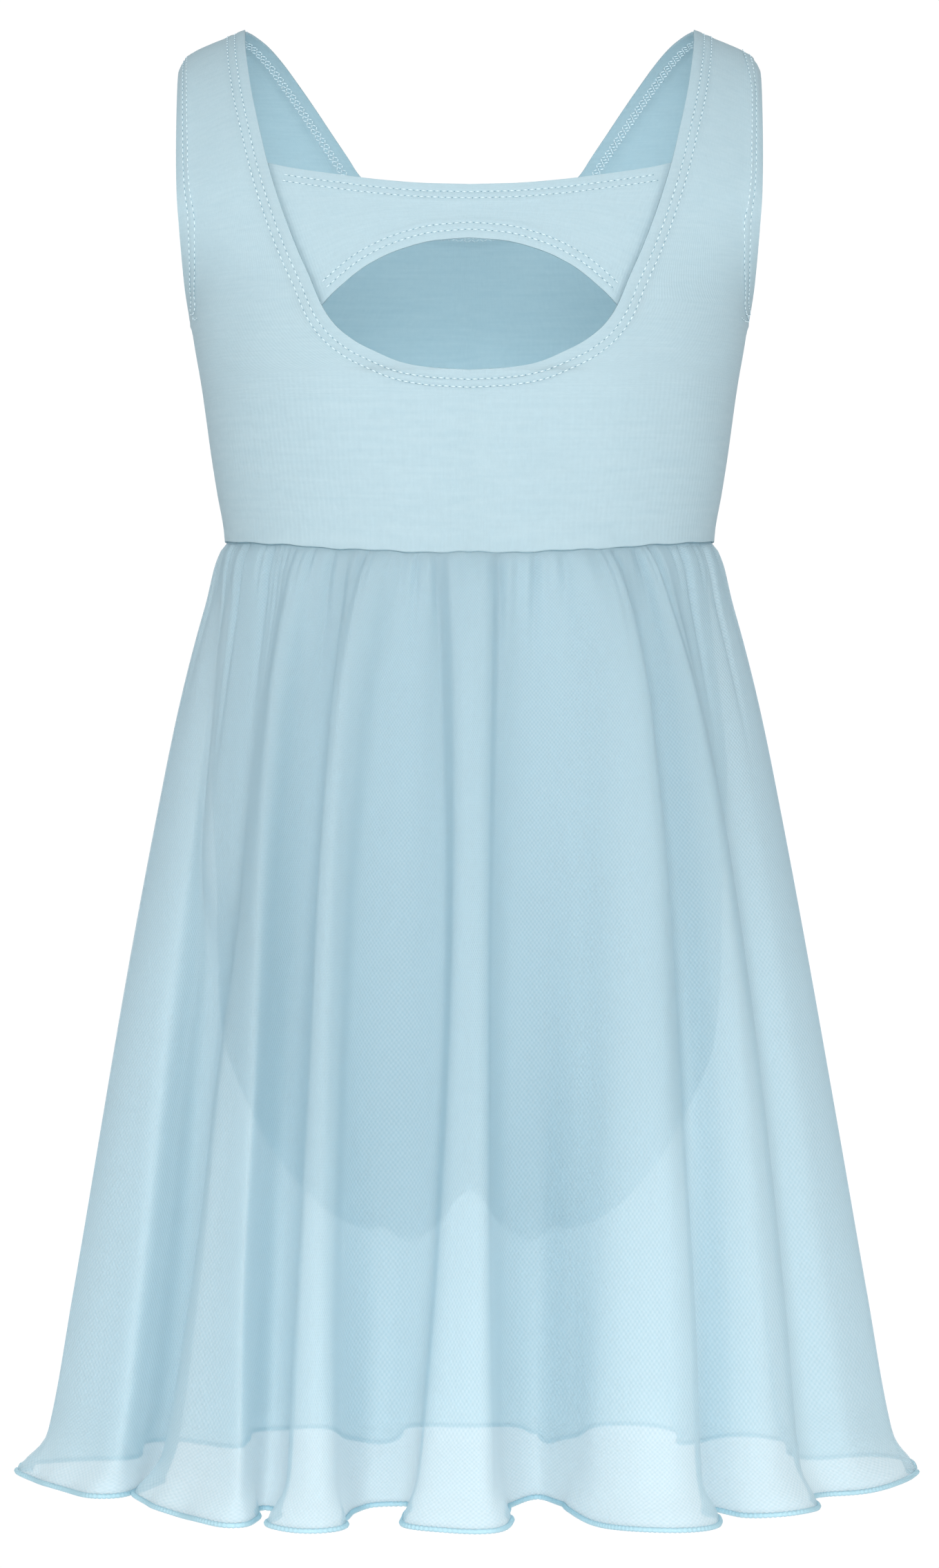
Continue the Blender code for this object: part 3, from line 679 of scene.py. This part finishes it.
def tubeAlong(name, edge, radius, sides, material):
    # a ring of thread carried along the edge, closed at both ends, with a bead for each overlock loop
    form = bmesh.new()
    points = evenly([(tuple(p), p) for p in edge], rolledHem["step"])
    points = [Vector(p) for p in points]
    count = len(points)
    bmesh.ops.create_grid(form, x_segments=count - 1, y_segments=sides, size=1)
    for vertex in form.verts:
        i = int(round((vertex.co.x + 1) / 2 * (count - 1)))
        turn = (vertex.co.y + 1) / 2 * 2 * math.pi
        along = (points[min(count - 1, i + 1)] - points[max(0, i - 1)]).normalized()
        side = along.cross(Vector((0, 0, 1))).normalized()
        up = side.cross(along)
        wrap = radius * (0.8 + 0.34 * abs(math.sin(math.pi * i * rolledHem["step"] / rolledHem["bead"])))
        vertex.co = (points[i] + (side * math.cos(turn) + up * math.sin(turn)) * wrap) * mm
    bmesh.ops.remove_doubles(form, verts=form.verts, dist=1e-6)
    bmesh.ops.holes_fill(form, edges=[e for e in form.edges if e.is_boundary], sides=sides)
    bmesh.ops.recalc_face_normals(form, faces=form.faces)
    mesh = bpy.data.meshes.new(name)
    form.to_mesh(mesh)
    form.free()
    mesh.shade_smooth()
    mesh.materials.append(material)
    piece = bpy.data.objects.new(name, mesh)
    bpy.context.collection.objects.link(piece)
    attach(piece, "root")
    print(name, "made")
    return piece


hemThread = threadAndHoleShade("overlock thread", "#a9cdd9")
hemBack = tubeAlong("rolledHemBack", backHem, rolledHem["radius"], rolledHem["sides"], hemThread)
hemFront = tubeAlong("rolledHemFront", frontHem, rolledHem["radius"], rolledHem["sides"], hemThread)

# brief
brief = {
    "wall": 1.0, "roundness": 2.3,
    # level of the section at the middle and at the side seam, half width, depth
    "sectionsBack": ((-204.4, -204.4, 93.4, 62.6), (-250, -240, 96.5, 67.5), (-325, -292, 102.5, 78.0)),
    "sectionsFront": ((-204.4, -204.4, 93.4, 62.6), (-250, -240, 96.5, 66.0), (-320, -292, 102.5, 70.5)),
    # share of the half panel, then the lower seat, the underside, and the leg edge or crotch seam
    "edgeBack": (
        (0.0, 0, -70, -412, 0, -37, -455, 0, 0, -456), (0.08, 8, -73, -413, 5, -40, -459, 5, 0, -456),
        (0.16, 15, -77, -415, 12, -45, -469, 11, 0, -457), (0.3, 29, -80, -416, 24, -51, -475, 20, 0, -459),
        (0.42, 42, -79, -414, 35, -57, -466, 26, -28, -468),
        (0.52, 52, -73, -410, 45, -62, -450, 37, -46, -472),
        (0.62, 63, -63, -403, 58, -61, -442, 52, -55, -466),
        (0.72, 74, -52, -392, 72, -55, -427, 69, -53, -450),
        (0.82, 84, -42, -377, 85, -44, -405, 84, -42, -427),
        (0.92, 97.2, -25, -356, 97, -25, -380, 96, -23, -400),
        (1.0, 100.5, 0, -332, 100.5, 0, -357, 99.5, 0, -380)),
    "edgeFront": (
        (0.0, 0, 60, -395, 0, 34, -447, 0, 0, -456), (0.16, 15, 61, -396, 13, 35, -448, 11, 0, -457),
        (0.3, 29, 61, -395, 26, 36, -447, 20, 0, -459), (0.42, 42, 60, -391, 36, 44, -435, 26, 22, -455),
        (0.52, 52, 57, -386, 43, 50, -424, 34, 38, -447), (0.62, 63, 53, -380, 54, 53, -411, 45, 48, -437),
        (0.72, 74, 47, -372, 66, 50, -399, 59, 50, -425), (0.82, 84, 38, -362, 80, 42, -388, 75, 43, -412),
        (0.92, 97.2, 23, -348, 96.6, 25, -372, 95, 26, -396),
        (1.0, 100.5, 0, -332, 100.5, 0, -357, 99.5, 0, -380)),
}


def briefPlace(sections, edges, facing):
    def place(u, v):
        side = 2 * u - 1
        half = abs(side)
        turn = math.radians(90 * half)
        path = []
        for centre, seam, width, depth in sections:
            x = width * power(math.sin(turn), 2 / brief["roundness"])
            y = facing * (depth * power(max(0.0, math.cos(turn)), 2 / brief["roundness"]) + 0.3)
            z = centre + (seam - centre) * half ** 2
            if not path:
                z += waistLevel(x, facing) - body["waist"]
            path.append((x, y, z))
        for first in (1, 4, 7):
            path.append(tuple(blend(edges, half, first + k) for k in range(3)))
        x, y, z = spline(path, v * (len(path) - 1))
        y = facing * max(0.6 if half < 0.35 else 0.3, facing * y)
        point = Vector((math.copysign(x, side), y, z))
        out = Vector((point.x, point.y, 0)).normalized()
        quiet = min(1.0, abs(y) / 15) * ease((-215 - z) / 40)
        wrinkle = 0.7 * math.sin(z / 3.4 + 2 * math.sin(point.x / 15)) * math.exp(-((z + 405) / 35) ** 2)
        wrinkle *= math.exp(-((abs(point.x) - 38) / 22) ** 2)
        hem = 0.45 * ease((v - 0.955) / 0.012)
        slack = creases(point, facing * 4.4, 1.3) + wrinkle * (facing < 0)
        return point + out * (quiet * slack + hem * (half > 0.3))
    return place


briefBack = clothPiece("briefBack", 140, 150, briefPlace(brief["sectionsBack"], brief["edgeBack"], -1),
                       (0.30, 0.29), briefJerseyPaintedLighter, brief["wall"])
briefFront = clothPiece("briefFront", 140, 150, briefPlace(brief["sectionsFront"], brief["edgeFront"], 1),
                        (0.30, 0.28), briefJerseyPaintedLighter, brief["wall"])
for piece, node in ((briefBack, "brief_back"), (briefFront, "brief_front")):
    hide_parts(node)


# stitching
# holeShade is the size of the dark dots that are painted shade at the needle holes
stitch = {"pitch": 2.6, "length": 1.8, "width": 0.5, "height": 0.3, "holeShade": (0.62, 0.5, 0.22)}


def insetPath(keys, surface, distance, inward):
    # a row of positions and directions at a set distance from an edge, on the surface
    spots = []
    for i, key in enumerate(keys):
        here = surface(*key)
        ahead, behind = surface(*keys[min(len(keys) - 1, i + 1)]), surface(*keys[max(0, i - 1)])
        along = (ahead - behind).normalized()
        dx = (surface(key[0] + 0.5, key[1]) - here) / 0.5
        dl = (surface(key[0], key[1] - 0.5) - here) / 0.5
        normal = dx.cross(dl).normalized()
        want = along.cross(normal).normalized()
        if want.dot(inward(key, dx, dl)) < 0:
            want = -want
        # solve for the step in half width and level that moves along want
        a, b, c = dx.dot(dx), dx.dot(dl), dl.dot(dl)
        p, q = want.dot(dx), want.dot(dl)
        det = a * c - b * b
        stepX, stepL = (p * c - q * b) / det, (q * a - p * b) / det
        spot = surface(key[0] + stepX * distance, key[1] - stepL * distance)
        spots.append((spot, normal))
    return spots


def stitchRow(form, spots, lift, pitch, cross, size, start):
    path = [s[0] for s in spots]
    run, reach = 0.0, pitch * start
    flip = 1
    for i in range(len(path) - 1):
        step = (path[i + 1] - path[i]).length
        while step > 0 and run + step >= reach:
            t = (reach - run) / step
            centre = path[i].lerp(path[i + 1], t)
            along = (path[i + 1] - path[i]).normalized()
            normal = spots[i][1]
            if normal.dot(Vector((centre.x, centre.y, 0))) < 0:
                normal = -normal
            side = normal.cross(along).normalized()
            if cross:
                along = (along * math.cos(cross) + side * flip * math.sin(cross)).normalized()
                side = normal.cross(along).normalized()
                flip = -flip
            axes = Matrix((along * size[0], side * size[1], normal * size[2])).transposed() * (mm / 2)
            place = Matrix.Translation((centre + normal * lift) * mm) @ axes.to_4x4()
            bmesh.ops.create_icosphere(form, subdivisions=1, radius=1, matrix=place)
            reach += pitch
        run += step


def stitchPiece(name, rows):
    form = bmesh.new()
    for spots, lift, pitch, cross, size in rows:
        stitchRow(form, spots, lift, pitch, cross, size, 0.5)
    # a second row of small dark dots, half a pitch on, is painted shade in the needle holes
    paintedShadeFrom = len(form.faces)
    for spots, lift, pitch, cross, size in rows:
        if not cross:
            stitchRow(form, spots, lift - 0.1, pitch, 0, stitch["holeShade"], 1.0)
    for i, face in enumerate(form.faces):
        face.material_index = 1 if i >= paintedShadeFrom else 0
    mesh = bpy.data.meshes.new(name)
    form.to_mesh(mesh)
    form.free()
    mesh.shade_smooth()
    mesh.materials.append(thread)
    mesh.materials.append(needleHoleShade)
    piece = bpy.data.objects.new(name, mesh)
    bpy.context.collection.objects.link(piece)
    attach(piece, "root")
    print(name, "made")
    return piece


def bothSides(keys):
    return [(-x, level) for x, level in reversed(keys)] + keys[1:]


def towardsCloth(key, dx, dl):
    # away from the opening: outwards and down from a neckline
    return dx * (1 if key[0] >= 0 else -1) * 0.7 + dl


def towardsMiddle(key, dx, dl):
    return dx * (-1 if key[0] >= 0 else 1) + dl * 0.25


def backSurface(x, level):
    return onBody(x, level, -1)


def frontSurface(x, level):
    return onBody(x, level, 1)


threadSize = (stitch["length"], stitch["width"], stitch["height"])
scoopKeys = bothSides(edgeKeys(backScoop, 1.0, -1))
neckKeys = bothSides(edgeKeys(frontNeck, 1.0, 1))
armBackKeys = edgeKeys(armTable, 1.0, -1, low=-111.0)
armFrontKeys = edgeKeys(armTable, 1.0, 1, low=-111.0)

backRows = [(insetPath(scoopKeys, backSurface, d, towardsCloth), 0.45, stitch["pitch"], 0, threadSize)
            for d in (4.3, 7.3)]
for side in (-1, 1):
    keys = [(side * x, level) for x, level in armBackKeys]
    backRows += [(insetPath(keys, backSurface, d, towardsMiddle), 0.45, stitch["pitch"], 0, threadSize)
                 for d in (4.3, 7.3)]
stitchesBack = stitchPiece("stitchesBack", backRows)

frontRows = [(insetPath(neckKeys, frontSurface, d, towardsCloth), 0.1, stitch["pitch"], 0, threadSize)
             for d in (3.4, 6.2)]
for side in (-1, 1):
    keys = [(side * x, level) for x, level in armFrontKeys]
    frontRows += [(insetPath(keys, frontSurface, d, towardsMiddle), 0.1, stitch["pitch"], 0, threadSize)
                  for d in (3.4, 6.2)]
# the looper thread's herringbone shows on the wrong side of the front
for d, tilt in ((3.7, 0.65), (4.8, -0.65), (5.9, 0.65)):
    frontRows.append((insetPath(neckKeys, frontSurface, d, towardsCloth), -1.75, 1.7, tilt, (2.1, 0.55, 0.4)))
stitchesFront = stitchPiece("stitchesFront", frontRows)

bandRows = []
for v, distances in ((0, (3.5, 6.1)), (1, (3.2, 6.0))):
    keys = [bandKey(0.085 + 0.83 * i / 200, v) for i in range(201)]
    sign = 1 if v == 0 else -1
    for d in distances:
        bandRows.append((insetPath(keys, bandPoint, d, lambda key, dx, dl, s=sign: dl * s), 0.4,
                         stitch["pitch"], 0, threadSize))
stitchesBand = stitchPiece("stitchesBand", bandRows)

# floor, light and background
studio = {
    "floor": -0.95, "floorHalf": 1.5, "ambient": 0.47,
    # place, size and power of each soft light; the one behind stands for the lit white backdrop
    "lights": {"front": ((0, -2.4, 0.15), 0.9, 36), "left": ((-1.7, -1.5, 0.4), 1.3, 14),
               "right": ((1.7, -1.5, 0.2), 1.3, 12), "backdrop": ((0, 2.3, -0.1), 2.2, 38)},
}
form = bmesh.new()
bmesh.ops.create_grid(form, x_segments=1, y_segments=1, size=studio["floorHalf"],
                      matrix=Matrix.Translation((0, 0, studio["floor"])))
floorMesh = bpy.data.meshes.new("floor")
form.to_mesh(floorMesh)
form.free()
floor = bpy.data.objects.new("floor", floorMesh)
bpy.context.collection.objects.link(floor)
paleFloor, floorShader, _ = newMaterial("pale floor")
floorShader.inputs["Base Color"].default_value = linear("#f4f6f7")
floorShader.inputs["Roughness"].default_value = 0.9
floorMesh.materials.append(paleFloor)

world = bpy.data.worlds.new("studio")
bpy.context.scene.world = world
world.use_nodes = True
tree = world.node_tree
seen = tree.nodes["Background"]
seen.inputs["Color"].default_value = (1, 1, 1, 1)
seen.inputs["Strength"].default_value = 1.02
lit = tree.nodes.new("ShaderNodeBackground")
lit.inputs["Color"].default_value = (0.97, 0.99, 1, 1)
lit.inputs["Strength"].default_value = studio["ambient"]
rays = tree.nodes.new("ShaderNodeLightPath")
pick = tree.nodes.new("ShaderNodeMixShader")
tree.links.new(rays.outputs["Is Camera Ray"], pick.inputs[0])
tree.links.new(lit.outputs[0], pick.inputs[1])
tree.links.new(seen.outputs[0], pick.inputs[2])
tree.links.new(pick.outputs[0], tree.nodes["World Output"].inputs["Surface"])

for name, (place, size, energy) in studio["lights"].items():
    lamp = bpy.data.objects.new(name, bpy.data.lights.new(name, "AREA"))
    lamp.data.size = size
    lamp.data.energy = energy
    lamp.location = place
    lamp.rotation_euler = (Vector((0, 0, -0.3)) - Vector(place)).to_track_quat("-Z", "Y").to_euler()
    lamp.visible_camera = False
    bpy.context.collection.objects.link(lamp)
bpy.context.scene.view_settings.view_transform = "Standard"
bpy.context.scene.cycles.transparent_max_bounces = 20   # sheer layers lie many deep in the folds
bpy.context.scene.cycles.max_bounces = 7
bpy.context.scene.cycles.diffuse_bounces = 5
bpy.context.scene.cycles.transmission_bounces = 7
bpy.context.scene.cycles.adaptive_threshold = 0.035   # smooth cloth is clean after few samples
print("lights placed")
